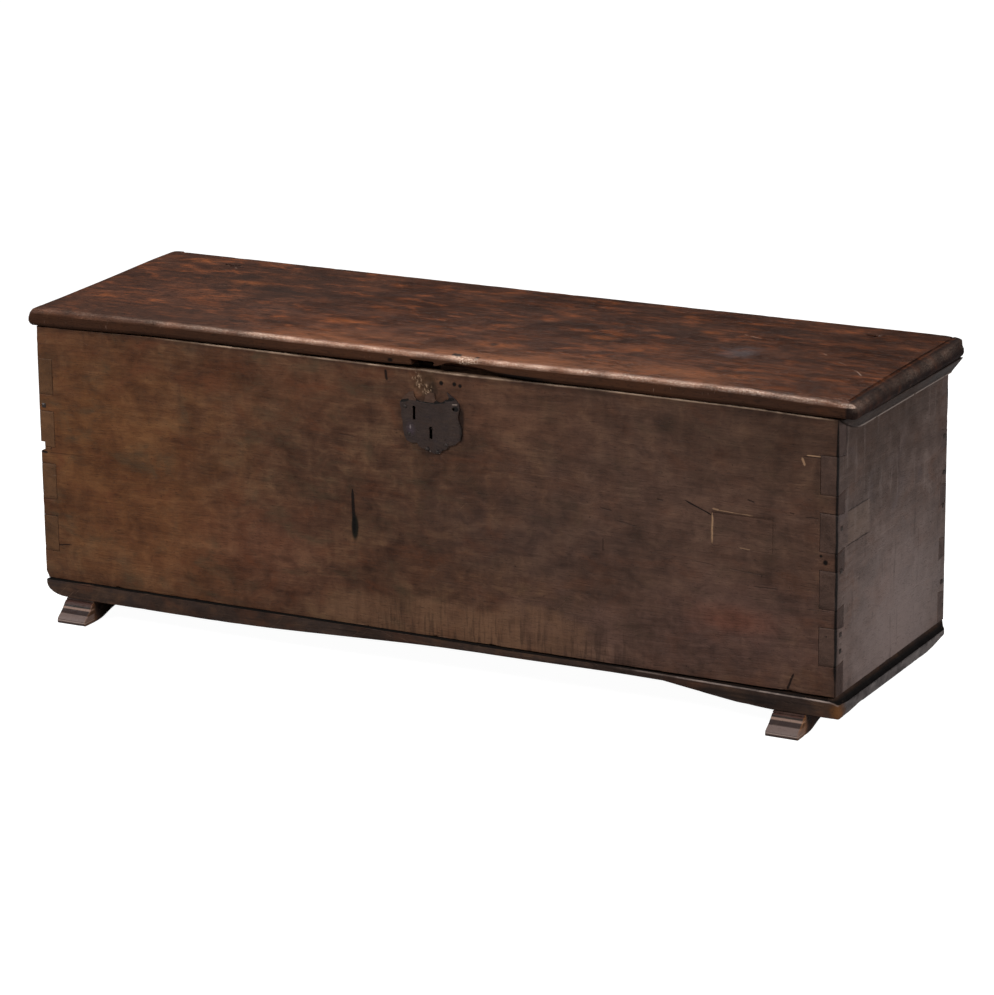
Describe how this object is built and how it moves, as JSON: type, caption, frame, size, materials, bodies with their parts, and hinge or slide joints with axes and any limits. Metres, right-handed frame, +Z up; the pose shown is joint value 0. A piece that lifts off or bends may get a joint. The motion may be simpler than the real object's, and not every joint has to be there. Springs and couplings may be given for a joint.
{
  "type": "wooden storage chest",
  "caption": "Long low chest of wide dovetailed boards with a moulded hinged lid, a plate lock let into the front, a plank bottom and front-to-back runner feet.",
  "frame": {"origin": "on the floor, under the middle of the overall box (the middle of the lid's length and of the runners' length)", "axes": "+X along the chest to the viewer's right as seen from the front, +Y from the front to the back, +Z up"},
  "size_m": [1.546, 0.54, 0.5559],
  "materials": {
    "case_wood": "old waxed brown board, worn at the edges",
    "lid_wood": "polished red-brown plank with orange worn patches and dark stains",
    "base_wood": "very dark brown plank",
    "runner_wood": "very dark brown with lighter worn edges",
    "wrought_iron": "hand-worked slate-black iron"
  },
  "bodies": {
    "case": {"front_board": "case_wood", "back_board": "case_wood", "left_end_board": "case_wood", "right_end_board": "case_wood", "bottom_board": "base_wood", "left_runner": "runner_wood", "right_runner": "runner_wood", "front_patch": "case_wood", "lock_plate": "wrought_iron", "left_bolt_guide": "wrought_iron", "right_bolt_guide": "wrought_iron", "bolt_spring": "wrought_iron", "key_cap": "wrought_iron", "key_pin": "wrought_iron", "left_case_eye": "wrought_iron", "right_case_eye": "wrought_iron", "corner_nail_1": "wrought_iron", "corner_nail_2": "wrought_iron", "corner_nail_3": "wrought_iron", "corner_nail_4": "wrought_iron", "corner_nail_5": "wrought_iron", "corner_nail_6": "wrought_iron", "corner_nail_7": "wrought_iron", "corner_nail_8": "wrought_iron", "corner_nail_9": "wrought_iron", "corner_nail_10": "wrought_iron", "corner_nail_11": "wrought_iron", "corner_nail_12": "wrought_iron", "corner_nail_13": "wrought_iron", "bottom_nail_1": "wrought_iron", "bottom_nail_2": "wrought_iron", "bottom_nail_3": "wrought_iron", "bottom_nail_4": "wrought_iron", "bottom_nail_5": "wrought_iron", "bottom_nail_6": "wrought_iron", "bottom_nail_7": "wrought_iron", "bottom_nail_8": "wrought_iron", "runner_nail_1": "wrought_iron", "runner_nail_2": "wrought_iron", "runner_nail_3": "wrought_iron", "runner_nail_4": "wrought_iron", "lock_plate_nail_1": "wrought_iron", "lock_plate_nail_2": "wrought_iron", "lock_plate_nail_3": "wrought_iron", "lock_plate_nail_4": "wrought_iron", "lock_plate_nail_5": "wrought_iron"},
    "lid": {"lid_board": "lid_wood", "left_cleat": "lid_wood", "right_cleat": "lid_wood", "left_lid_eye": "wrought_iron", "right_lid_eye": "wrought_iron", "cleat_nail_1": "wrought_iron", "cleat_nail_2": "wrought_iron", "cleat_nail_3": "wrought_iron", "cleat_nail_4": "wrought_iron", "cleat_nail_5": "wrought_iron", "cleat_nail_6": "wrought_iron"},
    "bolt": {"lock_bolt": "wrought_iron"}
  },
  "joints": [
    {"name": "lid_hinge", "type": "hinge", "parent": "case", "child": "lid", "pos_m": [-0.0085, 0.2495, 0.5234], "axis": [-1, 0, 0], "range_deg": [0, 100]},
    {"name": "bolt_slide", "type": "slide", "parent": "case", "child": "bolt", "axis": [-1, 0, 0], "range_m": [0, 0.012]}
  ]
}
